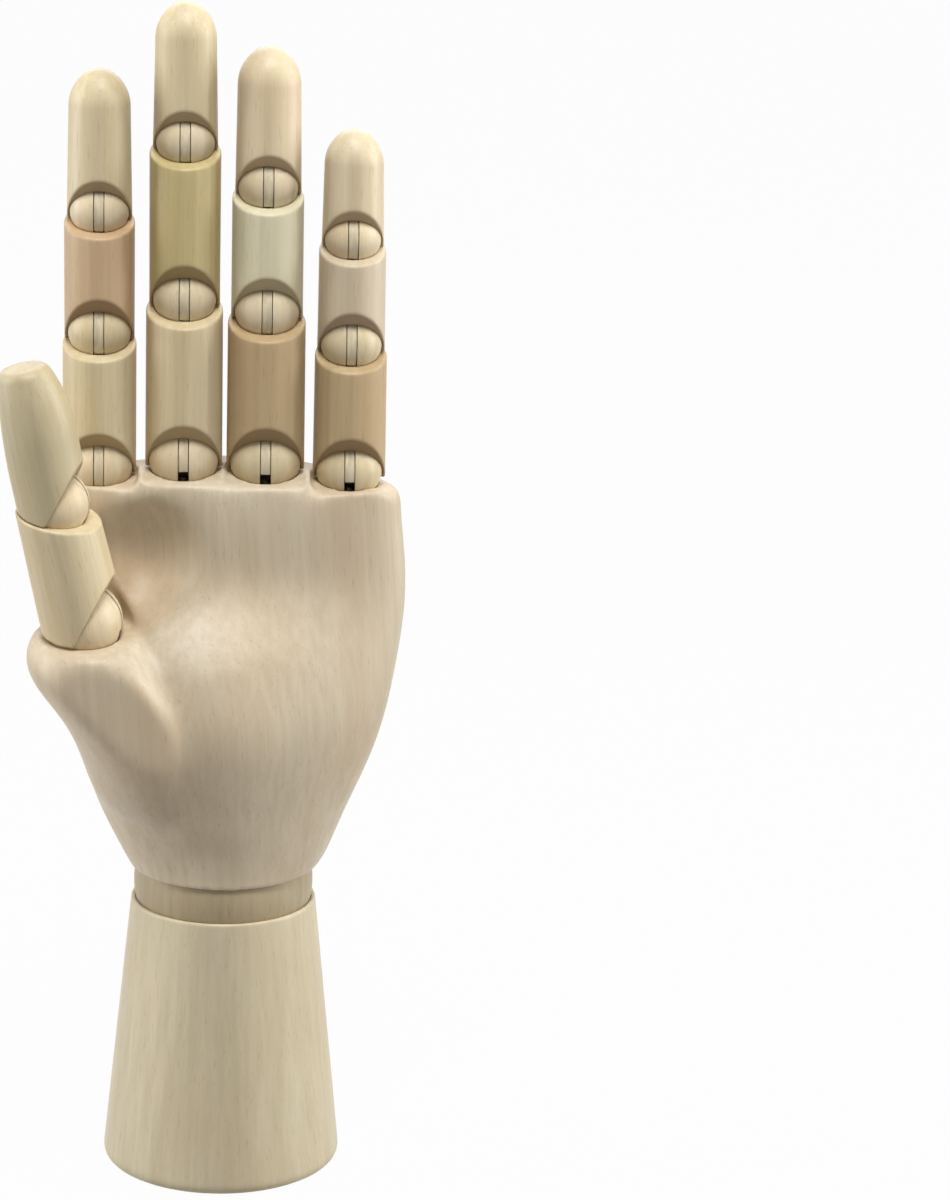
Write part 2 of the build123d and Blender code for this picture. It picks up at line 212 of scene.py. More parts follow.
@dataclass(frozen=True)
class Pattern:
    """A stretched noise: cycles a metre along three axes, fineness, and the range that counts."""

    stretch: tuple
    detail: float
    roughness: float = 0.5
    limits: tuple = (0.0, 1.0)


FIBRES = Pattern((2600, 2600, 60), 3.0, 0.6, (0.3, 0.7))
STREAKS = Pattern((520, 520, 9), 3.0, 0.55, (0.34, 0.66))
BANDS = Pattern((130, 150, 7), 2.0, 0.5, (0.35, 0.66))
CLOUDS = Pattern((34, 34, 15), 2.0, 0.5, (0.42, 0.7))
PORES = Pattern((2100, 2100, 190), 1.0, 0.5, (0.63, 0.74))
DRAW_MARKS = Pattern((3000, 900, 160), 3.0)
STEEL_SPOTS = Pattern((260, 260, 260), 2.0, 0.5, (0.45, 0.75))
BRUSH_MARKS = Pattern((900, 900, 90), 2.0, 0.5, (0.35, 0.65))

# Tints over a wood's dark tone, channel by channel
WARM_TINT = (1.04, 0.92, 0.8)
PORE_TINT = (0.5, 0.42, 0.36)
# Painted shade for the hollow beside the thumb
HOLLOW_SHADE_TINT = (0.74, 0.58, 0.4)
# Painted shade for the cups and bevels under the joints
PAINTED_SHADE_TINT = (0.62, 0.53, 0.44)


class Shader(NodeMaker):
    """One material's node tree, built around its Principled shader."""

    def __init__(self, name: str) -> None:
        """Start an empty material with a Principled shader."""
        self.material = bpy.data.materials.new(name)
        self.material.use_nodes = True
        super().__init__(self.material.node_tree)
        self.surface = self.tree.nodes["Principled BSDF"]

    def coordinates(self) -> bpy.types.NodeSocket:
        """Where a surface point is on its piece."""
        return self.node("ShaderNodeTexCoord", {}, {}).outputs["Object"]

    def noise(self, pattern: Pattern, turn: Matrix, shift: Vector) -> Value:
        """Noise along a piece.

        Args:
            pattern: Its stretch and its fineness.
            turn: Rotation that takes the piece's grain to the Z axis.
            shift: Offset that gives the piece its own stretch of the pattern.

        Returns:
            The noise.
        """
        moves = {"Vector": self.coordinates(), "Rotation": turn.to_euler(), "Location": shift}
        turned = self.node("ShaderNodeMapping", {}, moves).outputs["Vector"]
        moves = {"Vector": turned, "Scale": Vector(pattern.stretch)}
        place = self.node("ShaderNodeMapping", {}, moves).outputs["Vector"]
        fineness = {"Detail": pattern.detail, "Roughness": pattern.roughness}
        sockets = {"Vector": place, "Scale": 1.0, **fineness}
        return self.value("ShaderNodeTexNoise", {"noise_dimensions": "3D"}, sockets)

    def distance(self, centre: tuple) -> Value:
        """Distance of a surface point from a fixed one, in metres."""
        sockets = {0: self.coordinates(), 1: Vector(centre)}
        return self.value("ShaderNodeVectorMath", {"operation": "DISTANCE"}, sockets, 1)

    def blend(self, factor: Value, first: object, second: object) -> bpy.types.NodeSocket:
        """Mix two colours.

        Args:
            factor: Share of the second colour.
            first: Colour at 0, plain or a socket.
            second: Colour at 1, plain or a socket.

        Returns:
            The mixed colour's socket.
        """
        mixer = self.node("ShaderNodeMix", {"data_type": "RGBA"}, {0: factor, 6: first, 7: second})
        return mixer.outputs[2]

    def bump(self, strength: float, depth: float, height: Value) -> bpy.types.NodeSocket:
        """Normal of a rough surface.

        Args:
            strength: How much of the roughness shows.
            depth: The height's scale, in metres.
            height: The height, over 0 to 1.

        Returns:
            The normal's socket.
        """
        sockets = {"Strength": strength, "Distance": depth, "Height": height}
        return self.node("ShaderNodeBump", {}, sockets).outputs["Normal"]


def tinted(colour: tuple, tint: tuple) -> tuple:
    """A colour times a tint, channel by channel, at full alpha."""
    return (*(channel * share for channel, share in zip(colour, tint)), 1.0)


class Tone(Enum):
    """Tones of bare wood found over the hand: light and dark colour of the grain, one of them darkened as painted
    shade.
    """

    CREAM = ((0.77, 0.665, 0.475), (0.65, 0.535, 0.345))
    BEIGE = ((0.71, 0.61, 0.405), (0.58, 0.475, 0.285))
    PINKISH = ((0.61, 0.455, 0.285), (0.49, 0.345, 0.20))
    OLIVE = ((0.61, 0.51, 0.265), (0.48, 0.385, 0.18))
    ASH = ((0.74, 0.69, 0.50), (0.64, 0.585, 0.40))
    # Painted shade: the wrist ball's tone, darkened for the shade between the palm and the forearm
    SHADED = ((0.47, 0.395, 0.255), (0.38, 0.305, 0.185))
    GREY = ((0.66, 0.58, 0.41), (0.55, 0.475, 0.32))
    TAN = ((0.56, 0.43, 0.25), (0.44, 0.32, 0.175))
    PALE = ((0.66, 0.575, 0.43), (0.55, 0.455, 0.32))
    DUSKY = ((0.58, 0.505, 0.325), (0.47, 0.395, 0.24))


@dataclass(frozen=True)
class WoodFinish:
    """Fine sanded wood with straight grain, pores and slow changes of tone, and painted shade on cups, bevels and
    a hollow.
    """

    tone: Tone
    seed: int
    turn: Matrix = field(default_factory=lambda: Matrix.Identity(3))
    figure: float = 0.35
    # Painted shade: a darker spot around a centre, for a hollow that lies in shade
    hollow_shade: float = 0.0
    hollow_shade_centre: tuple = (0.0, 0.0, 0.0)
    hollow_shade_reach: float = 20.0 * MM
    hollow_shade_edge_shares: tuple = (1.5, 0.55)
    shift_reach: float = 0.4
    streak_share: float = 0.55
    fibre_share: float = 0.2
    cloud_share: float = 0.4
    pore_share: float = 0.2
    # How much painted shade the marked cups and bevels get
    painted_shade_share: float = 0.85
    roughness: float = 0.36
    fibre_roughness: float = 0.16
    pore_roughness: float = 0.2
    grain_relief: float = 0.5
    pore_relief: float = 0.8
    bump_strength: float = 0.35
    bump_depth: float = 0.06 * MM
    specular: float = 0.42

    def material(self, name: str) -> bpy.types.Material:
        """Build the finish.

        Args:
            name: The material's name.

        Returns:
            The new material.
        """
        shader = Shader(name)
        draws = np.random.default_rng(self.seed)
        shift = Vector(draws.uniform(-self.shift_reach, self.shift_reach, 3))
        light, dark = ((*colour, 1.0) for colour in self.tone.value)
        patterns = (FIBRES, STREAKS, BANDS, CLOUDS, PORES)
        noises = [shader.noise(pattern, self.turn, shift) for pattern in patterns]
        fibre, streak, band, cloud, pores = noises
        pore = pores.limited(*PORES.limits)
        grain = streak.limited(*STREAKS.limits) * self.streak_share
        grain = grain + band.limited(*BANDS.limits) * self.figure
        grain = grain + fibre.limited(*FIBRES.limits) * self.fibre_share
        colour = shader.blend(grain, light, dark)
        warmth = cloud.limited(*CLOUDS.limits) * self.cloud_share
        colour = shader.blend(warmth, colour, tinted(dark, WARM_TINT))
        colour = shader.blend(pore * self.pore_share, colour, tinted(dark, PORE_TINT))
        # Painted shade: darken a spot around a centre, where a hollow lies in shade
        if self.hollow_shade:
            away = shader.distance(self.hollow_shade_centre) + cloud * self.hollow_shade_reach
            shade_spot = away.limited(*(share * self.hollow_shade_reach for share in self.hollow_shade_edge_shares))
            colour = shader.blend(shade_spot * self.hollow_shade, colour, tinted(dark, HOLLOW_SHADE_TINT))
        # Painted shade: darken the points that the turned pieces mark on their cups and bevels
        painted_shade = shader.value("ShaderNodeAttribute", {"attribute_name": PAINTED_SHADE_ATTRIBUTE}, {}, 2)
        colour = shader.blend(painted_shade * self.painted_shade_share, colour, tinted(dark, PAINTED_SHADE_TINT))
        rough = fibre * self.fibre_roughness + pore * self.pore_roughness + self.roughness
        height = fibre * self.grain_relief + streak * self.grain_relief - pore * self.pore_relief
        looks = {
            "Base Color": colour,
            "Roughness": rough,
            "Normal": shader.bump(self.bump_strength, self.bump_depth, height),
            "Specular IOR Level": self.specular,
        }
        shader.connect(shader.surface, looks)
        return shader.material


@dataclass(frozen=True)
class SteelFinish:
    """Flat rolled steel with fine draw marks."""

    name: str = "rolled_steel"
    colour: tuple = (0.62, 0.60, 0.56, 1.0)
    wear: float = 0.72
    roughness: float = 0.18
    mark_roughness: float = 0.25
    spot_roughness: float = 0.12
    bump_strength: float = 0.2
    bump_depth: float = 0.03 * MM

    def material(self) -> bpy.types.Material:
        """Build the finish."""
        shader = Shader(self.name)
        still = Matrix.Identity(3)
        marks = shader.noise(DRAW_MARKS, still, Vector())
        spots = shader.noise(STEEL_SPOTS, still, Vector())
        worn = tinted(self.colour, (self.wear,) * 3)
        looks = {
            "Base Color": shader.blend(spots.limited(*STEEL_SPOTS.limits), self.colour, worn),
            "Roughness": marks * self.mark_roughness + spots * self.spot_roughness + self.roughness,
            "Normal": shader.bump(self.bump_strength, self.bump_depth, marks),
            "Metallic": 1.0,
        }
        shader.connect(shader.surface, looks)
        return shader.material


@dataclass(frozen=True)
class LacquerFinish:
    """Pale lacquer on the flat links, in the tone of the balls."""

    name: str = "link_lacquer"
    colour: tuple = (0.74, 0.64, 0.45, 1.0)
    wear: float = 0.8
    roughness: float = 0.5
    streak_roughness: float = 0.2
    specular: float = 0.25

    def material(self) -> bpy.types.Material:
        """Build the finish."""
        shader = Shader(self.name)
        streaks = shader.noise(BRUSH_MARKS, Matrix.Identity(3), Vector())
        worn = tinted(self.colour, (self.wear,) * 3)
        looks = {
            "Base Color": shader.blend(streaks.limited(*BRUSH_MARKS.limits), self.colour, worn),
            "Roughness": streaks * self.streak_roughness + self.roughness,
            "Specular IOR Level": self.specular,
        }
        shader.connect(shader.surface, looks)
        return shader.material


def joint(name: str) -> dict:
    """The frame's joint of this name."""
    return next(entry for entry in frame["joints"] if entry["name"] == name)


def linked(name: str, data: bpy.types.ID) -> bpy.types.Object:
    """New object over its data, linked to the scene."""
    made = bpy.data.objects.new(name, data)
    bpy.context.scene.collection.objects.link(made)
    return made


def smooth_object(name: str, mesh: bmesh.types.BMesh, sharp: float = pi) -> bpy.types.Object:
    """Turn a finished bmesh into a smooth object and free it.

    Args:
        name: The new object's name.
        mesh: The bmesh.
        sharp: Angle past which an edge stays sharp.

    Returns:
        The new object, linked to the scene.
    """
    data = bpy.data.meshes.new(name)
    mesh.to_mesh(data)
    mesh.free()
    data.shade_smooth()
    if sharp < pi:
        data.set_sharp_from_angle(angle=sharp)
    return linked(name, data)


def apply_modifiers(piece: bpy.types.Object) -> None:
    """Turn a piece's modifiers into plain mesh."""
    bpy.context.view_layer.update()
    evaluated = piece.evaluated_get(bpy.context.evaluated_depsgraph_get())
    mesh = bpy.data.meshes.new_from_object(evaluated)
    piece.modifiers.clear()
    piece.data = mesh


def finish_piece(
    piece: bpy.types.Object, body: str, material: bpy.types.Material, nodes: list
) -> None:
    """Give a finished piece its material and its body, and let it stand for CAD nodes.

    Args:
        piece: The piece, with its place in its mesh.
        body: The body that it rides on.
        material: Its finish.
        nodes: The CAD nodes that it stands for.
    """
    piece.data.materials.clear()
    piece.data.materials.append(material)
    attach(piece, body)
    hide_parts(*nodes)
    LOG.info("%s: %d faces on %s", piece.name, len(piece.data.polygons), body)


def eased(values: np.ndarray, start: float, end: float) -> np.ndarray:
    """Smooth steps from 0 where a value is at start to 1 where it is at end."""
    share = np.clip((values - start) / (end - start), 0, 1)
    return share * share * (3 - 2 * share)


def arc(centre: tuple, radius: float, start: float, end: float, count: int) -> np.ndarray:
    """Points along an arc in the half plane.

    Args:
        centre: The arc's centre, radial and along the axis.
        radius: Its radius.
        start: Its first angle from the radial direction.
        end: Its last angle.
        count: How many points it gets.

    Returns:
        The points, one a row.
    """
    angles = np.linspace(start, end, count)
    return np.column_stack([centre[0] + radius * np.cos(angles), centre[1] + radius * np.sin(angles)])


def along(stretch: np.ndarray, distances: np.ndarray) -> np.ndarray:
    """Points of a polyline at distances from its start."""
    steps = np.hypot(*np.diff(stretch, axis=0).T)
    travelled = np.concatenate([[0.0], np.cumsum(steps)])
    columns = [np.interp(distances, travelled, stretch[:, axis]) for axis in (0, 1)]
    return np.column_stack(columns)


def rounded_outline(
    stretches: list, counts: tuple, roundings: tuple, corner_count: int
) -> np.ndarray:
    """Join stretches end to end, with a rounded corner where they meet at an angle.

    Args:
        stretches: Dense polylines, each starting where the last one ends.
        counts: How many points each stretch gets.
        roundings: How far each corner is rounded along its two stretches, or 0 for none.
        corner_count: How many points each corner gets.

    Returns:
        The outline's points, one a row.
    """
    outline = []
    meets_sharply = False
    for number, stretch in enumerate(stretches):
        length = float(np.hypot(*np.diff(stretch, axis=0).T).sum())
        before = roundings[number - 1] if number else 0.0
        after = roundings[number] if number < len(roundings) else 0.0
        before = min(before, CORNER_SHARE * length)
        after = min(after, CORNER_SHARE * length)
        distances = np.linspace(before, length - after, counts[number])
        outline.append(along(stretch, distances[1:] if meets_sharply else distances))
        meets_sharply = number < len(roundings) and not roundings[number]
        if number < len(roundings) and not meets_sharply:
            leave = outline[-1][-1]
            corner = stretch[-1]
            following = stretches[number + 1]
            reach = float(np.hypot(*np.diff(following, axis=0).T).sum())
            meet = along(following, np.array([min(roundings[number], CORNER_SHARE * reach)]))[0]
            shares = np.linspace(0, 1, corner_count + 2)[1:-1, None]
            curve = (1 - shares) ** 2 * leave + 2 * shares * (1 - shares) * corner + shares**2 * meet
            outline.append(curve)
    return np.vstack(outline)


def ring_mesh(name: str, grid: np.ndarray, place: Matrix, painted_shade_rows: int) -> bpy.types.Object:
    """Closed mesh over a grid of columns that all start at one pole and end at the other.

    Args:
        name: The new object's name.
        grid: Points by column, row and axis.
        place: Where the piece goes.
        painted_shade_rows: How many rows from the first pole get painted shade: the cup, its corner and the bevel
            edge.

    Returns:
        The new object, linked to the scene.
    """
    columns, rows = grid.shape[:2]
    mesh = bmesh.new()
    first = mesh.verts.new(grid[:, 0].mean(axis=0))
    last = mesh.verts.new(grid[:, -1].mean(axis=0))
    inner = [[mesh.verts.new(point) for point in column[1:-1]] for column in grid]
    for number in range(columns):
        here = inner[number]
        there = inner[(number + 1) % columns]
        mesh.faces.new((first, there[0], here[0]))
        for row in range(rows - 3):
            mesh.faces.new((here[row], there[row], there[row + 1], here[row + 1]))
        mesh.faces.new((here[-1], there[-1], last))
    bmesh.ops.recalc_face_normals(mesh, faces=mesh.faces)
    mesh.transform(place)
    made = smooth_object(name, mesh)
    # The first pole and the rows above it get painted shade, the rest none
    shares = np.zeros(rows - 2)
    shares[: painted_shade_rows - 1] = 1.0
    marks = made.data.attributes.new(PAINTED_SHADE_ATTRIBUTE, "FLOAT", "POINT")
    marks.data.foreach_set("value", np.concatenate([[1.0, 0.0], np.tile(shares, columns)]))
    return made


@dataclass
class TurnedPiece:
    """A finger piece: a taper with a cup and a bevel at its foot, and a ball seat or a tip above."""

    name: str
    foot_radius: float
    head_radius: float
    length: float
    slant: float
    gap: float
    next_foot_radius: float = 0.0
    columns: int = 128
    rim_rounding: float = 0.75 * MM
    foot_rounding: float = 0.5 * MM
    mouth_rounding: float = 0.3 * MM
    corner_count: int = 4
    tip_nose_share: float = 0.75
    tip_side_share: float = 1.3

    @property
    def bottom(self) -> float:
        """Height at which the taper has its foot's radius."""
        return -RISE_SHARE * self.foot_radius - self.foot_radius * tan(max(self.slant, RIM_SLANT))

    @property
    def taper_top(self) -> float:
        """Height at which the taper has its head's radius."""
        if self.next_foot_radius:
            return self.length + self.head_radius * tan(RIM_SLANT) + MM
        return self.dome_base

    @property
    def dome_turn(self) -> float:
        """Angle at which the tip's side arc gives way to its nose arc."""
        side = self.tip_side_share
        return acos((side - 1) / (side - self.tip_nose_share))

    @property
    def dome_base(self) -> float:
        """Height at which the tip's dome starts."""
        side = self.tip_side_share * self.head_radius
        nose = self.tip_nose_share * self.head_radius
        return self.length - (side - nose) * sin(self.dome_turn) - nose

    def radius_at(self, height: float) -> float:
        """Radius of the taper at a height."""
        share = (height - self.bottom) / (self.taper_top - self.bottom)
        return self.foot_radius + (self.head_radius - self.foot_radius) * share

    def foot_height(self, across: float) -> float:
        """Height of the foot's edge at a distance from the axis, towards the back."""
        rim = RISE_SHARE * self.foot_radius
        skirt = self.gap / cos(self.slant) - rim + across * tan(self.slant)
        bevel = BEVEL_LOW_SHARE * self.foot_radius - rim - across * tan(BEVEL_ANGLE)
        return max(skirt, bevel)

    def foot_stretches(self, lean: float) -> list:
        """Cup and lower edge in one half plane.

        Args:
            lean: Sine of the half plane's angle, 1 at the back and -1 in front.

        Returns:
            The cup's arc from the axis outwards, and the edge from the cup to the taper.
        """
        cup = BALL_SHARE * self.foot_radius + CUP_CLEARANCE
        reaches = np.linspace(0, CUTTER_SHARE * self.foot_radius, SEARCH_POINTS)
        heights = np.array([self.foot_height(reach * lean) for reach in reaches])
        outside = np.nonzero(reaches**2 + heights**2 > cup**2)[0]
        inner = reaches[outside[0]]
        start = atan2(self.foot_height(inner * lean), inner)
        outer = self.foot_radius
        for _ in range(SETTLE_STEPS):
            outer = self.radius_at(self.foot_height(outer * lean))
        spans = np.linspace(cup * cos(start), outer, EDGE_POINTS)
        edge = np.column_stack([spans, [self.foot_height(span * lean) for span in spans]])
        bowl = arc((0, 0), cup, pi / 2, start, BOWL_POINTS)
        bowl[-1] = edge[0]
        return [bowl, edge]

    def seat_stretches(self, lean: float) -> list:
        """Upper edge and ball seat in one half plane, from the taper to the axis."""
        slope = lean * tan(RIM_SLANT)
        outer = self.head_radius
        for _ in range(SETTLE_STEPS):
            outer = self.radius_at(self.length + outer * slope)
        rise = RISE_SHARE * self.next_foot_radius
        seat = BALL_SHARE * self.next_foot_radius + SEAT_CLEARANCE
        square = 1 + slope**2
        inner = (slope * rise + sqrt((slope * rise) ** 2 - square * (rise**2 - seat**2))) / square
        start = atan2(inner * slope - rise, inner)
        spans = np.linspace(outer, inner, EDGE_POINTS)
        edge = np.column_stack([spans, self.length + spans * slope])
        bowl = arc((0, self.length + rise), seat, start, -pi / 2, BOWL_POINTS)
        bowl[0] = edge[-1]
        return [edge, bowl]

    def tip_stretches(self) -> list:
        """The dome of a tip in a half plane, from the taper to the axis."""
        side = self.tip_side_share * self.head_radius
        nose = self.tip_nose_share * self.head_radius
        foot = (self.head_radius - side, self.dome_base)
        lower = arc(foot, side, 0, self.dome_turn, SIDE_POINTS)
        upper = arc((0, self.length - nose), nose, self.dome_turn, pi / 2, SIDE_POINTS)
        return [np.vstack([lower, upper[1:]])]

    def wall(self, low: float, high: float) -> np.ndarray:
        """The taper's side between two heights."""
        heights = np.linspace(low, high, SIDE_POINTS)
        return np.column_stack([[self.radius_at(height) for height in heights], heights])

    def outline(self, angle: float) -> np.ndarray:
        """Whole outline in one half plane, from the cup's pole to the top's."""
        lean = sin(angle)
        bowl, edge = self.foot_stretches(lean)
        if self.next_foot_radius:
            upper = self.seat_stretches(lean)
            wall = self.wall(edge[-1][1], upper[0][0][1])
            counts = (BOWL_ROWS, EDGE_ROWS, WALL_ROWS, EDGE_ROWS, BOWL_ROWS)
            roundings = (self.mouth_rounding, self.foot_rounding, self.rim_rounding, self.mouth_rounding)
        else:
            upper = self.tip_stretches()
            wall = self.wall(edge[-1][1], self.dome_base)
            counts = (BOWL_ROWS, EDGE_ROWS, WALL_ROWS, TIP_ROWS)
            roundings = (self.mouth_rounding, self.foot_rounding, 0.0)
        return rounded_outline([bowl, edge, wall, *upper], counts, roundings, self.corner_count)

    def build(self, place: Matrix) -> bpy.types.Object:
        """Build the piece.

        Args:
            place: The place of the ball that it turns on.

        Returns:
            The new object.
        """
        grid = []
        for number in range(self.columns):
            angle = 2 * pi * number / self.columns
            outline = self.outline(angle)
            points = [(reach * cos(angle), reach * sin(angle), height) for reach, height in outline]
            grid.append(points)
        # The cup, its mouth corner and the lower edge get painted shade
        painted_shade_rows = BOWL_ROWS + EDGE_ROWS + self.corner_count
        return ring_mesh(self.name, self.shaped(np.array(grid)), place, painted_shade_rows)

    def shaped(self, grid: np.ndarray) -> np.ndarray:
        """Last change to the turned grid, which a plain piece doesn't need."""
        return grid


@dataclass
class ThumbTip(TurnedPiece):
    """The thumb's tip: a long rounded pad on the palm side, and a lean towards it."""

    pad_radius: float = 34.0 * MM
    pad_drop: float = 20.0 * MM
    corner: float = 1.7 * MM
    lean: float = 3.2 * MM
    lean_start: float = 0.2
    pad_points: int = 80
    top_points: int = 12

    @property
    def dome_base(self) -> float:
        """Height at which the pad starts to draw in."""
        return self.length - self.pad_drop

    def pad_offset(self, drop: np.ndarray) -> np.ndarray:
        """How far the pad lies inside the taper at a distance below the tip."""
        below = np.clip(self.pad_drop - drop, 0, None)
        return self.pad_radius - np.sqrt(self.pad_radius**2 - below**2)

    def tip_stretches(self) -> list:
        """The pad's section radius in a half plane, up to a small flat top."""
        drops = np.linspace(self.pad_drop, 0, self.pad_points)
        radii = self.head_radius - self.pad_offset(drops) / 2
        corner = np.clip(self.corner - drops, 0, None)
        radii = radii - (self.corner - np.sqrt(self.corner**2 - corner**2))
        side = np.column_stack([radii, self.length - drops])
        inwards = np.linspace(radii[-1], 0, self.top_points)
        top = np.column_stack([inwards, np.full(self.top_points, self.length)])
        return [np.vstack([side, top[1:]])]

    def shaped(self, grid: np.ndarray) -> np.ndarray:
        """Shift the pad's sections back, so that only the palm side draws in, and lean the tip."""
        drop = np.clip(self.length - grid[:, :, 2], 0, None)
        grid[:, :, 1] += self.pad_offset(drop) / 2
        share = (grid[:, :, 2] / self.length - self.lean_start) / (1 - self.lean_start)
        grid[:, :, 1] -= self.lean * np.clip(share, 0, 1) ** 2
        return grid


class BallTree(NodeMaker):
    """Geometry nodes that turn a ball and cut its slots."""

    LENGTHS = ("Radius", "Slot Width", "Slot Floor", "Slot Back", "Stud Room", "Stud Top")
    SLOT_ROWS = (3, 12, 12)
    STUD_ROWS = (2, 2, 2)

    def __init__(self) -> None:
        """Build the tree."""
        super().__init__(bpy.data.node_groups.new("Slotted ball", "GeometryNodeTree"))
        sockets = self.tree.interface
        for name in (*self.LENGTHS, "Stud Slant"):
            sockets.new_socket(name, in_out="INPUT", socket_type="NodeSocketFloat")
        sockets.new_socket("Finish", in_out="INPUT", socket_type="NodeSocketMaterial")
        sockets.new_socket("Geometry", in_out="OUTPUT", socket_type="NodeSocketGeometry")
        self._wire()

    def _block(self, size: dict, rows: tuple, centre: dict, turn: dict) -> bpy.types.NodeSocket:
        """Add a block.

        Args:
            size: Its extents by axis number.
            rows: Its points along each axis.
            centre: Its centre by axis number.
            turn: Its turn by axis number.

        Returns:
            The block's geometry.
        """
        points = dict(zip(("Vertices X", "Vertices Y", "Vertices Z"), rows))
        block = self.node("GeometryNodeMeshCube", {}, {"Size": self.vector(size), **points})
        moves = {"Translation": self.vector(centre), "Rotation": self.vector(turn)}
        sockets = {"Geometry": block.outputs[0], **moves}
        return self.node("GeometryNodeTransform", {}, sockets).outputs[0]

    def _wire(self) -> None:
        """Wire a sphere, the blocks of its slots and the cut between them."""
        given = self.node("NodeGroupInput", {}, {}).outputs
        radius, width, floor, back, room, top = (Value(self, given[name]) for name in self.LENGTHS)
        fineness = {"Segments": BALL_SEGMENTS, "Rings": BALL_RINGS}
        sphere = self.node("GeometryNodeMeshUVSphere", {}, {**fineness, "Radius": radius})
        reach = radius * CUTTER_SHARE
        size = {0: width, 1: reach + back, 2: reach + floor}
        centre = {1: (back - reach) * 0.5, 2: (reach - floor) * 0.5}
        slot = self._block(size, self.SLOT_ROWS, centre, {})
        cut = self.node(
            "GeometryNodeMeshBoolean",
            {"operation": "DIFFERENCE", "solver": "EXACT"},
            {0: sphere.outputs[0], 1: slot},
        )
        self.connect(cut, {1: self._stud_block(radius, room, top, given["Stud Slant"])})
        whole = self.node("GeometryNodeRealizeInstances", {}, {0: cut.outputs[0]})
        sockets = {"Geometry": whole.outputs[0], "Material": given["Finish"]}
        dressed = self.node("GeometryNodeSetMaterial", {}, sockets)
        self.node("NodeGroupOutput", {}, {0: dressed.outputs[0]})

    def _stud_block(
        self, radius: Value, room: Value, top: Value, slant: bpy.types.NodeSocket
    ) -> bpy.types.NodeSocket:
        """Block that clears a ball's stud as the ball rocks, and nothing where there is no stud.

        Args:
            radius: The ball's radius.
            room: The slot's narrow width, 0 where there is no stud.
            top: The slot's distance below the ball's centre.
            slant: The stud's slant about the pin.

        Returns:
            The block's geometry, or none.
        """
        sine = self.value("ShaderNodeMath", {"operation": "SINE"}, {0: slant})
        cosine = self.value("ShaderNodeMath", {"operation": "COSINE"}, {0: slant})
        middle = top + radius * 0.5
        size = {0: radius * (2 * sin(SPREAD_ROOM)) + room, 1: room, 2: radius}
        centre = {1: middle * sine, 2: middle * cosine * -1.0}
        block = self._block(size, self.STUD_ROWS, centre, {0: slant})
        sockets = {"Switch": room > 0.0, "True": block}
        return self.node("GeometryNodeSwitch", {"input_type": "GEOMETRY"}, sockets).outputs[0]

    def make(self, name: str, sizes: dict, place: Matrix) -> bpy.types.Object:
        """Make one ball as a plain mesh.

        Args:
            name: The new object's name.
            sizes: The tree's inputs by name.
            place: Where the ball goes.

        Returns:
            The new object, linked to the scene.
        """
        made = linked(name, bpy.data.meshes.new(name))
        modifier = made.modifiers.new("ball", "NODES")
        modifier.node_group = self.tree
        sockets = {item.name: item.identifier for item in self.tree.interface.items_tree}
        for key, given in sizes.items():
            modifier[sockets[key]] = given
        apply_modifiers(made)
        made.data.name = name
        made.data.transform(place)
        made.data.shade_smooth()
        made.data.set_sharp_from_angle(angle=SHARP_ANGLE)
        return made


